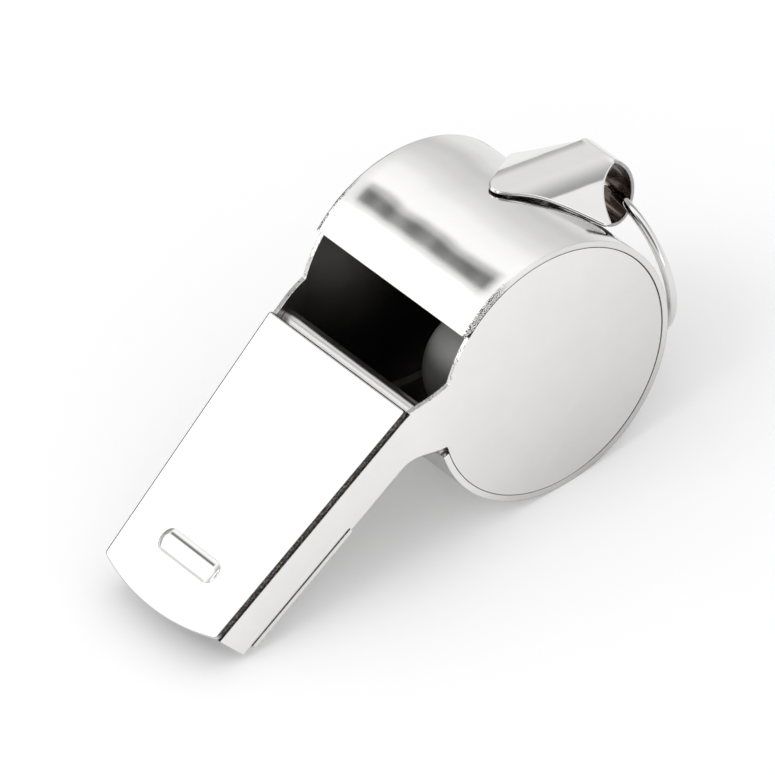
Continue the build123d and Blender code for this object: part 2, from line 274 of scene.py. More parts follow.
def polish_group():
    """Hand-polished plate: soft waves and a fine grain as a height, and patches of a duller gloss."""
    group, given, out = new_group(
        "hand_polish",
        [("Wave", FLOAT), ("Gloss", FLOAT)],
        [("Height", FLOAT), ("Roughness", FLOAT), ("Tone", FLOAT)],
    )
    place = place_of(group)
    waves = math(group, "MULTIPLY", noise(group, place, WAVES_PER_MM, detail=0.0), given["Wave"])
    waves = math(group, "MULTIPLY", waves, WAVE_HEIGHT)
    grain = noise(group, place, GRAINS_PER_MM)
    feed(group, out["Height"], math(group, "MULTIPLY_ADD", grain, GRAIN_HEIGHT, waves))
    patch = noise(group, place, PATCHES_PER_MM, **CLOUDY)
    feed(group, out["Roughness"], math(group, "MULTIPLY_ADD", patch, PATCH_ROUGHNESS, given["Gloss"]))
    feed(group, out["Tone"], patch)
    return group


EDGE_FACING = (0.8, 0.95)
HIDDEN_FACING = (-0.6, -0.3)


def sides_group():
    """Tells a sheet's cut edges and its hidden side from its plated side, by its normal."""
    group, given, out = new_group(
        "sheet_sides",
        [("Outward", VECTOR)],
        [("Edge", FLOAT), ("Hidden", FLOAT)],
    )
    facing = dot(group, normal_of(group), given["Outward"])
    feed(group, out["Edge"], smooth(group, math(group, "ABSOLUTE", facing), *EDGE_FACING, 1.0, 0.0))
    feed(group, out["Hidden"], smooth(group, facing, *HIDDEN_FACING, 1.0, 0.0))
    return group


TORN_DARK = (0.055, 0.047, 0.042, 1)
TORN_LIGHT = (0.26, 0.235, 0.21, 1)
TEAR_DETAIL = 3.0
TEAR_ROUGHNESS = 0.65
TEAR_LIMITS = (0.85, 0.15)
TEAR_SOFTNESS = 0.04
TORN_GRAINS_PER_MM = 6.0
TORN_GRAIN_ROUGHNESS = 0.6
TORN_GRAIN_RANGE = (0.45, 0.7)


def shear_group():
    """A sheared edge: torn dark metal with brighter grains. Torn is the share of the edge that is dark, and
    Grain the number of tears to a millimetre."""
    group, given, out = new_group(
        "sheared_edge",
        [("Torn", FLOAT), ("Grain", FLOAT)],
        [("Dark", FLOAT), ("Colour", COLOUR)],
    )
    place = vector_math(group, "MULTIPLY", place_of(group), (PER_MM, PER_MM, PER_MM))
    tear = node(group, "ShaderNodeTexNoise")
    feed(group, tear.inputs["Vector"], place)
    feed(group, tear.inputs["Scale"], given["Grain"])
    tear.inputs["Detail"].default_value = TEAR_DETAIL
    tear.inputs["Roughness"].default_value = TEAR_ROUGHNESS
    limit = smooth(group, given["Torn"], 0.0, 1.0, *TEAR_LIMITS)
    past_limit = math(group, "SUBTRACT", tear.outputs["Fac"], limit)
    dark = smooth(group, past_limit, -TEAR_SOFTNESS, TEAR_SOFTNESS)
    is_torn = math(group, "GREATER_THAN", given["Torn"], 0.0)
    feed(group, out["Dark"], math(group, "MULTIPLY", dark, is_torn))
    grains = noise(group, place_of(group), TORN_GRAINS_PER_MM, roughness=TORN_GRAIN_ROUGHNESS)
    grains = smooth(group, grains, *TORN_GRAIN_RANGE)
    feed(group, out["Colour"], mix_colour(group, grains, TORN_DARK, TORN_LIGHT))
    return group


POLISH = polish_group()
SIDES = sides_group()
SHEAR = shear_group()


# Side plates: where they are cut and seamed, and where they carry painted shade

SEAM_THIN = 0.03 * MM
SEAM_WIDE = 0.13 * MM
SEAM_WIDEST_WAY = (0.92, 0, -0.39)
SEAM_WIDENS = (0.2, 1.0)
SEAM_FADES = (0.5, 1.0)
ARM_TURN = radians(159)
ARM_WAY = (cos(ARM_TURN), 0, sin(ARM_TURN))
ARM_SPREAD = (cos(radians(27.5)), cos(radians(26)))
BURR_LINE = 0.1 * MM
BURR_END = 1.4 * BURR_LINE


def plate_sides(outward):
    """Cut edges of a side plate, with the dark seam round its disc and the burr under the top plate, and its
    hidden side. The seam is widest low on the rear side, and stops at the arm."""

    def find(tree):
        found = add_group(tree, SIDES, Outward=outward)
        from_axis = from_barrel(tree)
        flat = round_barrel(tree, from_axis)
        reach = math(tree, "SQRT", dot(tree, flat, flat))
        way = vector_math(tree, "NORMALIZE", flat)
        width = smooth(tree, dot(tree, way, SEAM_WIDEST_WAY), *SEAM_WIDENS, SEAM_THIN, SEAM_WIDE)
        inside = math(tree, "SUBTRACT", DISC_RADIUS, reach)
        line = smooth(tree, math(tree, "DIVIDE", inside, width), *SEAM_FADES, 1.0, 0.0)
        line = math(tree, "MULTIPLY", line, math(tree, "GREATER_THAN", inside, -SEAM_THIN))
        clear_of_arm = smooth(tree, dot(tree, way, ARM_WAY), *ARM_SPREAD, 1.0, 0.0)
        line = math(tree, "MULTIPLY", line, clear_of_arm)
        under_top = math(tree, "SUBTRACT", TOP_HEIGHT - SHEET, dot(tree, from_axis, mouth_up))
        burr = smooth(tree, under_top, BURR_LINE, BURR_END, 1.0, 0.0)
        on_arm = math(tree, "GREATER_THAN", dot(tree, from_axis, mouth_along), WINDOW_REACH)
        burr = math(tree, "MULTIPLY", burr, on_arm)
        return found["Edge"], found["Hidden"], math(tree, "MAXIMUM", line, burr)

    return find


DULL_PATCHES = 0.3
# Painted shade on the side plates: darker along this way from the barrel's middle, over this reach either side
SHADE_WAY = (0.6, 0, -0.8)
SHADE_REACH = 14 * MM


def patchy(tree, share, tone):
    """A share of painted shade, broken up by the polish's own patches."""
    patches = math(tree, "MULTIPLY_ADD", tone, DULL_PATCHES, -DULL_PATCHES / 2)
    return math(tree, "ADD", share, patches, clamp=True)


def plate_painted_shade(tree, tone):
    """A side plate is bright at its arm and carries a painted shade low on the rear side of its disc, where
    it mirrors the table in the whistle's shadow.
    """
    share = smooth(tree, dot(tree, from_barrel(tree), SHADE_WAY), -SHADE_REACH, SHADE_REACH)
    return patchy(tree, share, tone)


# Barrel band: where it is cut, torn and uneven, and where it carries painted shade

TORN_RIM = 0.32 * MM
TORN_RIM_END = (-4.5 * MM, -2.5 * MM)
CUT_END_FACING = (0.3, 0.7)
RIM_FACING = (0.7, 0.9)
# Painted shade low on the band's rims, where they look down to the table in the whistle's shadow
RIM_SHADE_SHARE = 0.28
RIM_SHADE_WAY = (0.2, 0, -0.98)
RIM_SHADE_RANGE = (0.3, 0.9)
# Painted shade on the band: bright up to the first reach behind its top, darkest from the second
BAND_BRIGHT_TO = -1.1 * MM
BAND_SHADED_FROM = 2.2 * MM
RIM_RUN = 1.6 * MM
RIM_ROLL = 0.062 * MM
RIPPLE_HEIGHT = 0.021 * MM
RIPPLE_START = 6.8 * MM
RIPPLE_RATE = 0.408 * PER_MM
RIPPLE_SLOWING = 0.0075 * PER_MM**2


def band_sides(tree):
    """Cut ends and hidden side of the barrel band, whose plated side looks away from the barrel's axis. Its
    rims are torn beside the window alone, and carry a painted shade low down, where they mirror the table in
    the whistle's shadow."""
    from_axis = from_barrel(tree)
    outward = vector_math(tree, "NORMALIZE", round_barrel(tree, from_axis))
    found = add_group(tree, SIDES, Outward=outward)
    back, across, height = parts_of(tree, from_axis)
    across = math(tree, "ABSOLUTE", across)
    rim = smooth(tree, across, BARREL_HALF_WIDTH - TORN_RIM, BARREL_HALF_WIDTH - 0.5 * TORN_RIM)
    by_window = smooth(tree, back, *TORN_RIM_END, 1.0, 0.0)
    by_window = math(tree, "MULTIPLY", by_window, math(tree, "GREATER_THAN", height, 0.0))
    sideways = math(tree, "ABSOLUTE", dot(tree, normal_of(tree), ACROSS))
    ends = math(tree, "MULTIPLY", found["Edge"], smooth(tree, sideways, *CUT_END_FACING, 1.0, 0.0))
    # Painted shade on the rims where they look down
    rim_shade = smooth(tree, dot(tree, outward, RIM_SHADE_WAY), *RIM_SHADE_RANGE, 0.0, RIM_SHADE_SHARE)
    rim_shade = math(tree, "MULTIPLY", rim_shade, smooth(tree, sideways, *RIM_FACING))
    edge = math(tree, "MAXIMUM", ends, math(tree, "MULTIPLY", rim, by_window))
    return edge, found["Hidden"], rim_shade


def band_painted_shade(tree, tone):
    """A painted shade: the barrel band is brightest in front of its top, and darker behind it."""
    share = smooth(tree, dot(tree, from_barrel(tree), (1, 0, 0)), BAND_BRIGHT_TO, BAND_SHADED_FROM)
    return patchy(tree, share, tone)


def band_rims(tree):
    """The barrel band's rims roll inwards a little, by a height that falls as the square of the way past its
    start, and its face has soft ripples across its width: a cosine whose waves grow longer towards the near
    side."""
    across = parts_of(tree, place_of(tree))["Y"]
    past = math(tree, "SUBTRACT", math(tree, "ABSOLUTE", across), BARREL_HALF_WIDTH - RIM_RUN)
    share = math(tree, "DIVIDE", math(tree, "MAXIMUM", past, 0.0), RIM_RUN)
    roll = math(tree, "MULTIPLY", math(tree, "POWER", share, 2.0), -RIM_ROLL)
    way = math(tree, "SUBTRACT", RIPPLE_START, across)
    rate = math(tree, "MULTIPLY_ADD", way, -RIPPLE_SLOWING, RIPPLE_RATE)
    ripple = math(tree, "COSINE", math(tree, "MULTIPLY", math(tree, "MULTIPLY", way, rate), pi))
    return math(tree, "MULTIPLY_ADD", ripple, RIPPLE_HEIGHT, roll)


# Mouthpiece plates and lug: where they are cut

BAR_MARGIN = 2 * BAR_HALF_WIDTH
LIP_RUN = 0.5 * MM
LIP_TORN = 0.3
FAR_LINE = (-1.2 * TOP_CORNER, -0.8 * TOP_CORNER)
SOLDER_LINE = 0.08 * MM
STRAP_EDGE_FACING = (0.6, 0.8)
STRAP_TORN = 0.55
WING_EDGE_FACING = (-0.45, -0.15)


def top_sides(tree):
    """Cut edges and hidden side of the top plate, whose tooth bar slopes without being an edge. The lip is
    torn less than the sides, and the far side's rounded corner has a line of its own."""
    found = add_group(tree, SIDES, Outward=mouth_up)
    from_axis = from_barrel(tree)
    bar_reach = WINDOW_REACH + TOP_LENGTH - BAR_SETBACK
    past_bar = math(tree, "SUBTRACT", dot(tree, from_axis, mouth_along), bar_reach)
    across = dot(tree, from_axis, ACROSS)
    in_row = math(tree, "LESS_THAN", math(tree, "ABSOLUTE", past_bar), BAR_MARGIN)
    in_run = math(tree, "LESS_THAN", math(tree, "ABSOLUTE", across), BAR_HALF_RUN + BAR_MARGIN)
    by_bar = math(tree, "MULTIPLY", in_row, in_run)
    edge = math(tree, "MULTIPLY", found["Edge"], opposite(tree, by_bar))
    torn = smooth(tree, past_bar, BAR_SETBACK - LIP_RUN, BAR_SETBACK, 1.0, LIP_TORN)
    edge = math(tree, "MULTIPLY", edge, torn)
    taper = (TOP_BACK_HALF - TOP_FRONT_HALF) / TOP_LENGTH
    half = math(tree, "MULTIPLY_ADD", past_bar, -taper, TOP_FRONT_HALF + taper * BAR_SETBACK)
    far_line = smooth(tree, math(tree, "SUBTRACT", across, half), *FAR_LINE)
    return math(tree, "MAXIMUM", edge, far_line), found["Hidden"], None


def bottom_sides(tree):
    """The bottom plate's edges are bright but for a dark line next to the arms, where the seam's solder
    shows."""
    found = add_group(tree, SIDES, Outward=-mouth_up)
    height = dot(tree, from_barrel(tree), mouth_up)
    seam = smooth(tree, height, BOTTOM_HEIGHT - 2 * SOLDER_LINE, BOTTOM_HEIGHT - SOLDER_LINE)
    return math(tree, "MULTIPLY", found["Edge"], seam), found["Hidden"], None


def lug_sides(tree):
    """The lower corner of the lug's edges is torn, and the inside of its eye is dark."""
    normal = normal_of(tree)
    strap = math(tree, "GREATER_THAN", dot(tree, from_barrel(tree), lug_along), EYE_START)
    sideways = math(tree, "ABSOLUTE", dot(tree, normal, ACROSS))
    strap_edge = math(tree, "MULTIPLY", smooth(tree, sideways, *STRAP_EDGE_FACING), strap)
    strap_torn = math(tree, "MULTIPLY", strap_edge, STRAP_TORN)
    wing_edge = smooth(tree, dot(tree, normal, lug_up), *WING_EDGE_FACING, 1.0, 0.0)
    edge = math(tree, "MULTIPLY_ADD", wing_edge, opposite(tree, strap), strap_torn)
    from_eye = vector_math(tree, "SUBTRACT", place_of(tree), eye_middle)
    looks_in = math(tree, "LESS_THAN", dot(tree, from_eye, normal), 0.0)
    return edge, math(tree, "MULTIPLY", looks_in, opposite(tree, strap_edge)), None


# Finishes

PLATE_BRIGHT = (0.95, 0.945, 0.935, 1)
PLATE_DULL = (0.90, 0.893, 0.88, 1)
CHAMBER_INSIDE = (0.38, 0.365, 0.36, 1)
# Side plate colours: the darker one also stands for the painted shade low on the rear of the disc
SIDE_BRIGHT = (0.965, 0.958, 0.945, 1)
SIDE_DULL_AND_SHADED = (0.755, 0.748, 0.733, 1)
# Band colours: the darker one also stands for the painted shade behind the band's top
BAND_BRIGHT = (0.935, 0.93, 0.92, 1)
BAND_DULL_AND_SHADED = (0.82, 0.815, 0.805, 1)
RING_TONE = (0.84, 0.833, 0.82, 1)
WINDWAY_DULL = (0.72, 0.713, 0.695, 1)
EYE_INSIDE = (0.17, 0.138, 0.12, 1)
TORN_ROUGHNESS = 0.4
SOFT_EDGE_SAMPLES = 6


def plated_sheet(
    name, sides=None, gloss=0.07, wave=1.0, torn=1.0, grain=2.6, soft_edge=0.1 * MM, inside=CHAMBER_INSIDE,
    inside_gloss=0.27, bright=PLATE_BRIGHT, dull=PLATE_DULL, rims=None, fade=None,
):
    """Bright nickel plate on sheet metal. sides finds its cut edges, its hidden side and its seam in the
    material's tree (on the barrel band, the seam's place holds a painted shade low on its rims), gloss is its
    least roughness, wave the share of the polish's waves, torn the dark share of an edge, soft_edge the radius
    that polishing leaves on it, rims a height that is added to the polish, and fade a painted shade by place,
    which darkens the colour together with the polish's own patches."""
    material, tree, shader = new_material(name)
    polish = add_group(tree, POLISH, Wave=wave, Gloss=gloss)
    height = polish["Height"] if rims is None else math(tree, "ADD", polish["Height"], rims(tree))
    bump = node(tree, "ShaderNodeBump")
    bump.inputs["Distance"].default_value = 1.0
    feed(tree, bump.inputs["Height"], height)
    if soft_edge:
        rounding = node(tree, "ShaderNodeBevel", samples=SOFT_EDGE_SAMPLES)
        rounding.inputs["Radius"].default_value = soft_edge
        feed(tree, bump.inputs["Normal"], rounding.outputs[0])
    feed(tree, shader.inputs["Normal"], bump.outputs[0])
    # Painted shade: on the side plates and the band, fade adds a darker share by place to the polish's own
    # patches
    dullness_and_shade = polish["Tone"] if fade is None else fade(tree, polish["Tone"])
    colour = mix_colour(tree, dullness_and_shade, bright, dull)
    roughness = polish["Roughness"]
    if sides is not None:
        edge, hidden, seam = sides(tree)
        shear = add_group(tree, SHEAR, Torn=torn, Grain=grain)
        dark_edge = math(tree, "MULTIPLY", edge, shear["Dark"])
        if seam is not None:
            dark_edge = math(tree, "MAXIMUM", dark_edge, seam)
        colour = mix_colour(tree, hidden, colour, inside)
        colour = mix_colour(tree, dark_edge, colour, shear["Colour"])
        roughness = math(tree, "MULTIPLY_ADD", hidden, inside_gloss - gloss, roughness)
        roughness = math(tree, "MULTIPLY_ADD", dark_edge, TORN_ROUGHNESS, roughness)
    feed(tree, shader.inputs["Base Color"], colour)
    feed(tree, shader.inputs["Roughness"], roughness)
    shader.inputs["Metallic"].default_value = 1.0
    return material


# The pea's pale colour is also its painted light on top, and its dull colour also its painted shade below,
# besides the mottling
PEA_PALE_LIT = (0.40, 0.40, 0.395, 1)
PEA_DULL_SHADED = (0.11, 0.11, 0.105, 1)
PEA_SHADED_TO = 1.9 * MM
PEA_LIT_FROM = 3.9 * MM
PEA_MOTTLE = 0.4
PEA_MOTTLES_PER_MM = 0.6
PEA_ROUGHNESS = 0.4
PEA_GRAINS_PER_MM = 3.0
PEA_GRAIN_DETAIL = 3.0
PEA_GRAIN_HEIGHT = 0.03 * MM
PEA_GRAIN_SHARE = 0.2
PEA_ORBIT = 5.2 * MM
pea_middle = barrel_axis - Vector((0, 0, PEA_ORBIT))


def pea_plastic():
    """Off-white moulded plastic, slightly rough, with a painted shade that darkens its lower side."""
    material, tree, shader = new_material("pea_plastic")
    place = place_of(tree)
    mottle = noise(tree, place, PEA_MOTTLES_PER_MM, **CLOUDY)
    height = dot(tree, vector_math(tree, "SUBTRACT", place, pea_middle), (0, 0, 1))
    # Painted shade: darker low on the pea, pale high on it
    painted_shade = smooth(tree, height, PEA_SHADED_TO, PEA_LIT_FROM, 1.0 - PEA_MOTTLE / 2, -PEA_MOTTLE / 2)
    dullness_and_shade = math(tree, "MULTIPLY_ADD", mottle, PEA_MOTTLE, painted_shade, clamp=True)
    feed(tree, shader.inputs["Base Color"], mix_colour(tree, dullness_and_shade, PEA_PALE_LIT, PEA_DULL_SHADED))
    shader.inputs["Roughness"].default_value = PEA_ROUGHNESS
    bump = node(tree, "ShaderNodeBump")
    bump.inputs["Strength"].default_value = PEA_GRAIN_SHARE
    bump.inputs["Distance"].default_value = PEA_GRAIN_HEIGHT
    feed(tree, bump.inputs["Height"], noise(tree, place, PEA_GRAINS_PER_MM, PEA_GRAIN_DETAIL))
    feed(tree, shader.inputs["Normal"], bump.outputs[0])
    return material


SOLDER_PALE = (0.5, 0.5, 0.49, 1)
SOLDER_DARK = (0.32, 0.31, 0.3, 1)
SOLDER_MOTTLES_PER_MM = 2.0
SOLDER_MOTTLE_RANGE = (0.3, 0.7)
SOLDER_ROUGHNESS = (0.35, 0.55)


def tin_solder():
    """Dull grey tin solder."""
    material, tree, shader = new_material("tin_solder")
    mottle = noise(tree, place_of(tree), SOLDER_MOTTLES_PER_MM, **CLOUDY)
    feed(tree, shader.inputs["Base Color"], mix_colour(tree, mottle, SOLDER_PALE, SOLDER_DARK))
    feed(tree, shader.inputs["Roughness"], smooth(tree, mottle, *SOLDER_MOTTLE_RANGE, *SOLDER_ROUGHNESS))
    shader.inputs["Metallic"].default_value = 1.0
    return material


# Pieces of pressed sheet: an outline in the flat, a rounded rim, and a rule that bends the flat into place

FINE_POINTS = 6000
OUTLINE_POINTS = 640
CURVE_POINTS = 60
CORNER_POINTS = 5
SAME_PLACE = 0.0005 * MM


def even(line, count, dense=None):
    """Points at even steps along a line of points. dense is a range of the first coordinate, and how many
    times closer the points stand there."""
    steps = np.hypot(*np.diff(line, axis=0).T)
    if dense is not None:
        low, high, times = dense
        middle = (line[1:, 0] + line[:-1, 0]) / 2
        steps = np.where((middle > low) & (middle < high), times * steps, steps)
    way = np.concatenate([[0.0], np.cumsum(steps)])
    wanted = np.linspace(0.0, way[-1], count, endpoint=False)
    return np.column_stack([np.interp(wanted, way, line[:, 0]), np.interp(wanted, way, line[:, 1])])


def closed_outline(half, blunt, dense=None):
    """A half outline, from the middle line round to the middle line again, mirrored, with its corners blunted
    by a running mean of that length, and then made even."""
    other = half[::-1] * (1.0, -1.0)
    loop = even(np.vstack([half, other[1:]]), FINE_POINTS)
    length = np.hypot(*(np.roll(loop, -1, axis=0) - loop).T).sum()
    reach = max(int(blunt / length * FINE_POINTS / 2), 1)
    shifts = np.arange(-reach, reach + 1)
    loop = np.mean([np.roll(loop, shift, axis=0) for shift in shifts], axis=0)
    return even(np.vstack([loop, loop[:1]]), OUTLINE_POINTS, dense)


def pressed_sheet(name, outline, sheet, corner, spine, steps, bend):
    """A sheet of even thickness inside an outline. Loops run from the spine out to the rim on the upper side,
    round two quarter circles of the corner radius, and back to the spine on the lower side. A loop's points
    are the outline's, set in by the corner radius and carried a share of the way to the nearest spine point,
    in steps of which there is one number for each side. bend turns a flat place and a depth under the upper
    side into a place on the whistle."""
    side = np.roll(outline, -1, axis=0) - np.roll(outline, 1, axis=0)
    out = np.column_stack([side[:, 1], -side[:, 0]]) / np.hypot(*side.T)[:, None]
    area = (outline[:, 0] * np.roll(outline[:, 1], -1) - outline[:, 1] * np.roll(outline[:, 0], -1)).sum()
    out *= np.sign(area)
    middle = np.column_stack([np.clip(outline[:, 0], *spine), np.zeros(len(outline))])
    upper, lower = (np.linspace(1.0, 0.0, count, endpoint=False) for count in steps)
    turn = np.linspace(0.0, pi / 2, CORNER_POINTS)
    quarter_in = corner * (1.0 - np.sin(turn))
    quarter_down = corner * (1.0 - np.cos(turn))
    inset = np.concatenate([quarter_in, quarter_in[::-1]])
    depth = np.concatenate([quarter_down, sheet - quarter_down[::-1]])
    rim = outline[None] - inset[:, None, None] * out[None]
    inner = outline - corner * out
    above, below = (inner[None] + shares[:, None, None] * (middle - inner)[None] for shares in (upper, lower))
    flat = np.concatenate([above, rim, below[::-1]])
    under = np.concatenate([np.zeros(len(above)), depth, np.full(len(below), sheet)])
    places = bend(flat[..., 0], flat[..., 1], np.broadcast_to(under[:, None], flat.shape[:2]))
    rows, columns = flat.shape[:2]
    index = np.arange(rows * columns).reshape(rows, columns)
    after = np.roll(index, -1, axis=1)
    faces = np.stack([index[:-1], index[1:], after[1:], after[:-1]], axis=-1).reshape(-1, 4)
    mesh = bpy.data.meshes.new(name)
    mesh.from_pydata(places.reshape(-1, 3).tolist(), [], faces.tolist())
    work = bmesh.new()
    work.from_mesh(mesh)
    bmesh.ops.remove_doubles(work, verts=work.verts, dist=SAME_PLACE)
    bmesh.ops.recalc_face_normals(work, faces=work.faces)
    work.to_mesh(mesh)
    work.free()
    mesh.polygons.foreach_set("use_smooth", np.ones(len(mesh.polygons), dtype=bool))
    piece = bpy.data.objects.new(name, mesh)
    bpy.context.scene.collection.objects.link(piece)
    piece.modifiers.new("even_shading", "WEIGHTED_NORMAL")
    return piece


def carry(origin, along, up, reach, across, height):
    """Places from an origin: a distance along, a distance across the whistle and a height."""
    return np.stack([
        origin[0] + reach * along[0] + height * up[0],
        origin[1] + across,
        origin[2] + reach * along[2] + height * up[2],
    ], axis=-1)


def rising(value, low, high):
    """A share that goes smoothly from 0 to 1 between two values: three times its square less twice its
    cube."""
    share = np.clip((value - low) / (high - low), 0.0, 1.0)
    return share * share * (3.0 - 2.0 * share)


# Top plate of the mouthpiece

LIP_BOW = 1.15 * MM
TOP_BLUNT = 0.6 * MM
TOP_SPINE = (1.5 * MM, TOP_LENGTH - 0.5 * MM)
TOP_STEPS = (90, 12)
BAR_ALONG = TOP_LENGTH - BAR_SETBACK
BAR_END_SLOPE = 1.25
BAR_TOP_HALF = 0.3 * MM
BAR_HEIGHT = 0.2 * MM
BAR_DENSE_HALF = 1.2 * BAR_HALF_WIDTH
BAR_DENSE_TIMES = 5.0


def bow_of(across):
    """How far the lip's arc stands before the front corners: a circle's rise over its chord."""
    radius = (TOP_FRONT_HALF**2 + LIP_BOW**2) / (2 * LIP_BOW)
    return np.sqrt(radius**2 - across**2) - (radius - LIP_BOW)


def top_plate():
    """The top plate: a tapered sheet with a bowed lip, flat but for the tooth bar, whose height falls from
    its flat top as the square of the way to its foot."""
    across = np.linspace(TOP_FRONT_HALF, 0.0, CURVE_POINTS)
    lip = np.column_stack([TOP_LENGTH + bow_of(across), across])
    half = np.vstack([[(0.0, 0.0), (0.0, TOP_BACK_HALF)], lip])
    by_bar = (BAR_ALONG - BAR_DENSE_HALF, BAR_ALONG + BAR_DENSE_HALF, BAR_DENSE_TIMES)
    outline = closed_outline(half, TOP_BLUNT, by_bar)
    origin = barrel_axis + WINDOW_REACH * mouth_along + TOP_HEIGHT * mouth_up

    def bend(along, across, depth):
        past_end = BAR_END_SLOPE * np.maximum(np.abs(across) - BAR_HALF_RUN, 0.0)
        from_bar = np.hypot(along - BAR_ALONG, past_end)
        share = np.clip((from_bar - BAR_TOP_HALF) / (BAR_HALF_WIDTH - BAR_TOP_HALF), 0.0, 1.0)
        rise = BAR_HEIGHT * (1.0 - share**2)
        return carry(origin, mouth_along, mouth_up, along, across, rise - depth)

    return pressed_sheet("top_plate", outline, SHEET, TOP_CORNER, TOP_SPINE, TOP_STEPS, bend)


# Lanyard lug

LUG_SHEET = 0.35 * MM
LUG_CORNER = 0.13 * MM
LUG_BLUNT = 0.4 * MM
LUG_STEPS = (60, 40)
CREST_HEIGHT = 11.45 * MM
CREST_FLAT = 0.6 * MM
CREST_END = (EYE_START - 0.4 * MM, EYE_START + 0.2 * MM)
WING_BEND = 4.8 * MM
WING_SLOPE = radians(30)
TONGUE_START = 0.26 * MM
TONGUE_SHOULDER = 1.1 * MM
TONGUE_HALF = 1.2 * MM
TONGUE_POINTS = 20
WING_START = (2.3 * MM, 2.0 * MM)
WING_MIDDLE = (4.72 * MM, 3.95 * MM)
WING_TIP = (6.7 * MM, 5.9 * MM)
WING_SIDE_RUN = 0.6 * MM
SCALLOP_DEPTH = 0.7 * MM
STRAP_HALF = 1.9 * MM
STRAP_END_RUN = 0.5 * MM
EYE_BENDS = ((0.5 * MM, 30), (3.85 * MM, 75), (0.5 * MM, 0), (1.25 * MM, 150))
EYE_END_GAP = 0.1 * MM


def strip_line():
    """The lug's middle line in side view: straight to the eye, then arcs of (radius, degrees), where 0
    degrees is a straight run, then straight up to the crest's underside. The line is summed from its
    direction, which is the sum of its curvature. Gives lengths, distances along, heights and directions."""
    lengths = [EYE_START] + [size * radians(turn) if turn else size for size, turn in EYE_BENDS]
    bends = [0.0] + [-1.0 / size if turn else 0.0 for size, turn in EYE_BENDS]
    ends = np.cumsum(lengths)
    way = np.linspace(0.0, ends[-1] + CREST_HEIGHT, FINE_POINTS)
    step = way[1] - way[0]
    curvature = np.append(bends, 0.0)[np.searchsorted(ends, way, side="right")]
    direction = np.cumsum(curvature) * step
    along = np.cumsum(np.cos(direction)) * step
    height = CREST_HEIGHT - LUG_SHEET / 2 + np.cumsum(np.sin(direction)) * step
    top = CREST_HEIGHT - LUG_SHEET - EYE_END_GAP
    kept = (way <= ends[-1]) | (height < top)
    return way[kept], along[kept], height[kept], direction[kept]


def lug_half_outline(strip_end):
    """Half of the lug in the flat: a parabola for the tongue's nose, a cubic through the wing's front edge, a
    short side, a hollow arc to the strap, and the strap's side and end."""
    nose_y = np.linspace(0.0, TONGUE_HALF, TONGUE_POINTS)
    nose_x = TONGUE_START + (TONGUE_SHOULDER - TONGUE_START) * (nose_y / TONGUE_HALF) ** 2
    nose = np.column_stack([nose_x, nose_y])
    knots = np.array([(TONGUE_SHOULDER, TONGUE_HALF), WING_START, WING_MIDDLE, WING_TIP]) / MM
    cubic = np.polyfit(knots[:, 1], knots[:, 0], 3)
    front_y = np.linspace(knots[0, 1], knots[-1, 1], CURVE_POINTS)[1:]
    front = np.column_stack([np.polyval(cubic, front_y), front_y]) * MM
    start = np.array([WING_TIP[0] + WING_SIDE_RUN, WING_TIP[1]])
    chord = np.array([EYE_START, STRAP_HALF]) - start
    share = np.linspace(0.0, 1.0, CURVE_POINTS)[:, None]
    inward = np.array([chord[1], -chord[0]]) / np.hypot(*chord)
    scallop = start + share * chord + 4 * SCALLOP_DEPTH * share * (1 - share) * inward
    strap = [(strip_end, STRAP_HALF), (strip_end, 0.0)]
    return np.vstack([nose, front, scallop, strap])


def lanyard_lug():
    """The lug: flat along its crest, then bent down on a circle until it has the wings' slope. The drop fades
    out at the eye, where the strap is flat across."""
    way, line_along, line_height, direction = strip_line()
    outline = closed_outline(lug_half_outline(way[-1]), LUG_BLUNT)

    def bend(along, across, depth):
        fade = 1.0 - rising(along, *CREST_END)
        turn = np.arcsin(np.clip((np.abs(across) - CREST_FLAT) / WING_BEND, 0.0, sin(WING_SLOPE)))
        past = np.maximum(np.abs(across) - CREST_FLAT - WING_BEND * sin(WING_SLOPE), 0.0)
        drop = fade * (WING_BEND * (1.0 - np.cos(turn)) + past * tan(WING_SLOPE))
        lean = fade * np.sign(across) * turn
        aim = np.interp(along, way, direction)
        lift = LUG_SHEET / 2 - depth
        upright = lift * np.cos(lean) - drop
        reach = np.interp(along, way, line_along) - np.sin(aim) * upright
        height = np.interp(along, way, line_height) + np.cos(aim) * upright
        return carry(barrel_axis, lug_along, lug_up, reach, across + lift * np.sin(lean), height)

    spine = (TONGUE_SHOULDER, way[-1] - STRAP_END_RUN)
    return pressed_sheet("lug", outline, LUG_SHEET, LUG_CORNER, spine, LUG_STEPS, bend)


# Studio

TABLE_HALF = 4.0
TABLE_TONE = (0.85, 0.85, 0.853, 1)
TABLE_GLOW = 0.12


def make_floor():
    """A wide white table."""
    corners = [(TABLE_HALF * x, TABLE_HALF * y, 0) for x, y in ((-1, -1), (1, -1), (1, 1), (-1, 1))]
    mesh = bpy.data.meshes.new("table")
    mesh.from_pydata(corners, [], [(0, 1, 2, 3)])
    table = bpy.data.objects.new("table", mesh)
    bpy.context.scene.collection.objects.link(table)
    material = bpy.data.materials.new("white_table")
    material.use_nodes = True
    tree = material.node_tree
    tree.nodes.clear()
    output = node(tree, "ShaderNodeOutputMaterial")
    paper = node(tree, "ShaderNodeBsdfDiffuse")
    paper.inputs["Color"].default_value = TABLE_TONE
    glow = node(tree, "ShaderNodeEmission")
    seen = node(tree, "ShaderNodeLightPath").outputs["Is Camera Ray"]
    feed(tree, glow.inputs["Strength"], math(tree, "MULTIPLY", seen, TABLE_GLOW))
    both = node(tree, "ShaderNodeAddShader")
    tree.links.new(paper.outputs[0], both.inputs[0])
    tree.links.new(glow.outputs[0], both.inputs[1])
    tree.links.new(both.outputs[0], output.inputs["Surface"])
    table.data.materials.append(material)


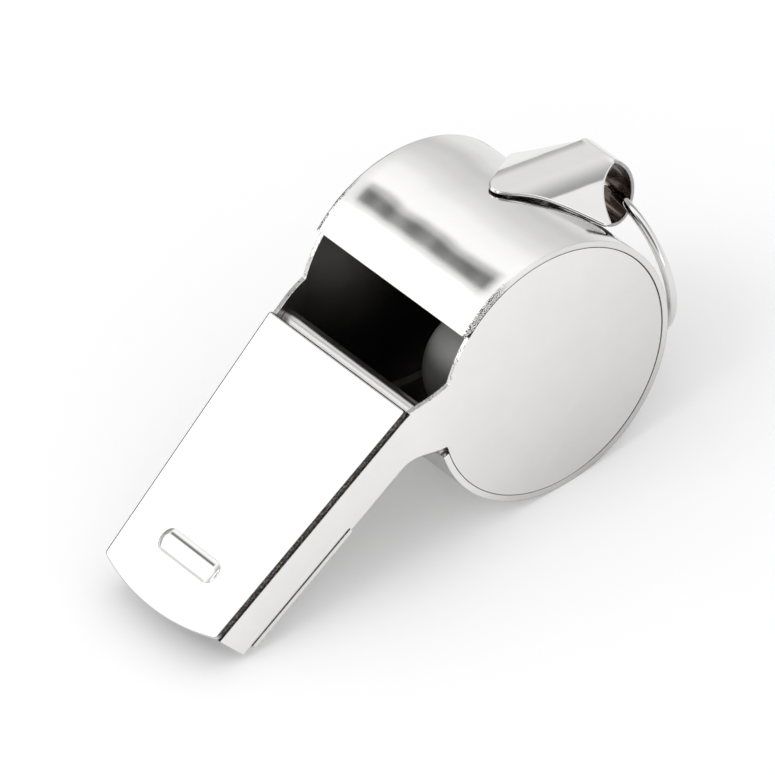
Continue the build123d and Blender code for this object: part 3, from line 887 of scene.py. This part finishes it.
# The light tent as polished metal sees it: brightness against the angle about Y, from +X over the top. The
# gap, the seam and the two ends are ranges of the direction's part along Y, which is 1 at the far end

TENT = (
    (0, 0.82), (14, 0.70), (30, 0.78), (50, 0.88), (66, 1.0), (82, 1.06), (89, 0.5), (95, 0.13), (102, 0.19),
    (108, 0.85), (115, 1.45), (158, 1.3), (170, 0.72), (180, 0.78),
)
TENT_MOST = 2.0
GAP_OPENS = (0.53, 0.63)
GAP_CLOSES = (0.66, 0.76)
CLOSED_LEVEL = 1.06
CLOSED_FROM = (radians(60), radians(70))
FAR_END = (0.70, 0.90)
FAR_DARK = 0.35
TENT_SEAM = (-0.08, 0.58)
TENT_SEAM_LEVEL = 0.42
NEAR_END = (-0.11, -0.05)
NEAR_LEVEL = 1.05
PORT_SPREAD = (cos(radians(34)), cos(radians(18)))
PORT_LEVEL = 0.15
DOME = 0.96
DOME_LEAN = (-0.22, -0.2)


def tent_level(tree, towards):
    """The tent's brightness in a direction: two overhead panels with a narrow dark gap between them, a soft
    seam, a dark far end, and the dark opening that the camera looks through."""
    right, far, up = parts_of(tree, towards)
    angle = math(tree, "ARCTAN2", up, right)
    ramp = node(tree, "ShaderNodeValToRGB")
    ramp.color_ramp.interpolation = "EASE"
    stops = ramp.color_ramp.elements
    while len(stops) < len(TENT):
        stops.new(0.5)
    for stop, (degrees, level) in zip(stops, TENT):
        stop.position = degrees / 180
        stop.color = (level / TENT_MOST, level / TENT_MOST, level / TENT_MOST, 1)
    feed(tree, ramp.inputs[0], math(tree, "DIVIDE", angle, pi, clamp=True))
    panels = math(tree, "MULTIPLY", ramp.outputs["Color"], TENT_MOST)
    gap = math(tree, "MULTIPLY", smooth(tree, far, *GAP_OPENS), smooth(tree, far, *GAP_CLOSES, 1.0, 0.0))
    closed = math(tree, "MAXIMUM", panels, smooth(tree, angle, *CLOSED_FROM, 0.0, CLOSED_LEVEL))
    panels = math(tree, "MULTIPLY_ADD", gap, math(tree, "SUBTRACT", panels, closed), closed)
    end = smooth(tree, far, *FAR_END, 1.0, FAR_DARK)
    seam = smooth(tree, far, *TENT_SEAM, TENT_SEAM_LEVEL, 1.0)
    near = smooth(tree, far, *NEAR_END, NEAR_LEVEL - TENT_SEAM_LEVEL, 0.0)
    port = smooth(tree, dot(tree, towards, view_back), *PORT_SPREAD, 1.0, PORT_LEVEL)
    tent = math(tree, "MULTIPLY", math(tree, "MULTIPLY", panels, end), math(tree, "ADD", seam, near))
    return math(tree, "MULTIPLY", tent, port)


def make_world():
    """A light tent: polished metal mirrors it in full, other surfaces are lit by an even dome that leans a
    little, and the camera sees white."""
    world = bpy.data.worlds.new("light_tent")
    bpy.context.scene.world = world
    world.use_nodes = True
    tree = world.node_tree
    tree.nodes.clear()
    output = node(tree, "ShaderNodeOutputWorld")
    towards = node(tree, "ShaderNodeTexCoord").outputs["Generated"]
    tent = tent_level(tree, towards)
    right, far, _ = parts_of(tree, towards)
    dome = math(tree, "MULTIPLY_ADD", right, DOME * DOME_LEAN[0], DOME)
    dome = math(tree, "MULTIPLY_ADD", far, DOME * DOME_LEAN[1], dome)
    path = node(tree, "ShaderNodeLightPath")
    more = math(tree, "SUBTRACT", tent, dome)
    mirrored = math(tree, "MULTIPLY_ADD", path.outputs["Is Glossy Ray"], more, dome)
    level = math(tree, "MULTIPLY_ADD", path.outputs["Is Camera Ray"], opposite(tree, mirrored), mirrored)
    background = node(tree, "ShaderNodeBackground")
    background.inputs["Color"].default_value = (1, 1, 1, 1)
    feed(tree, background.inputs["Strength"], level)
    tree.links.new(background.outputs[0], output.inputs["Surface"])


KEY_LENGTH = 0.45
KEY_WIDTH = 0.3
KEY_POWER = 0.9
KEY_DISTANCE = 0.8
key_way = Vector((-0.6, 0.05, 0.8)).normalized()


def make_key():
    """A soft lamp high on the left, which throws the mouthpiece's shadow to the right."""
    lamp = bpy.data.lights.new("key", "AREA")
    lamp.shape = "RECTANGLE"
    lamp.size = KEY_LENGTH
    lamp.size_y = KEY_WIDTH
    lamp.energy = KEY_POWER
    key = bpy.data.objects.new("key", lamp)
    key.location = barrel_axis + KEY_DISTANCE * key_way
    key.rotation_euler = (-key_way).to_track_quat("-Z", "Y").to_euler()
    key.visible_glossy = False
    bpy.context.scene.collection.objects.link(key)


# The whistle in its finishes


def dress(material, *names):
    """Gives CAD nodes a finish."""
    for name in names:
        piece = frame["nodes"][name]
        piece.data.materials.clear()
        piece.data.materials.append(material)


def stand_in(piece, material, node_name):
    """A new piece takes a CAD node's place on the whistle."""
    piece.data.materials.append(material)
    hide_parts(node_name)
    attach(piece, "whistle")


band_finish = plated_sheet(
    "barrel_band_plate", band_sides, wave=0.5, torn=0.5, grain=9.0, soft_edge=0.15 * MM,
    bright=BAND_BRIGHT, dull=BAND_DULL_AND_SHADED, rims=band_rims, fade=band_painted_shade,
)
dress(band_finish, "barrel_band")

side_look = {"torn": 0.42, "grain": 8.0, "bright": SIDE_BRIGHT, "dull": SIDE_DULL_AND_SHADED, "fade": plate_painted_shade}
for side, outward in (("right", (0, -1, 0)), ("left", (0, 1, 0))):
    dress(plated_sheet(f"{side}_plate_sheet", plate_sides(outward), **side_look), f"{side}_side_plate")

dress(plated_sheet("bottom_plate_sheet", bottom_sides, wave=0.2), "mouthpiece_bottom_plate")
dress(plated_sheet("windway_sheet", gloss=0.25, bright=WINDWAY_DULL, dull=WINDWAY_DULL), "windway_floor")

ring_look = {"gloss": 0.03, "wave": 0.3, "soft_edge": 0.0, "bright": RING_TONE, "dull": RING_TONE}
dress(plated_sheet("ring_wire", **ring_look), "lanyard_ring")

dress(pea_plastic(), "pea")
dress(tin_solder(), "lug_solder", "right_barrel_solder", "left_barrel_solder", "mouthpiece_solder")

top_finish = plated_sheet("top_plate_sheet", top_sides, wave=0.2, soft_edge=0.0)
stand_in(top_plate(), top_finish, "mouthpiece_top_plate")

lug_finish = plated_sheet(
    "lug_sheet", lug_sides, gloss=0.05, wave=0.6, torn=0.7, grain=4.0, soft_edge=0.0,
    inside=EYE_INSIDE, inside_gloss=0.12,
)
stand_in(lanyard_lug(), lug_finish, "lanyard_lug")

make_floor()
make_world()
make_key()
make_camera()
bpy.context.scene.view_settings.view_transform = "Standard"
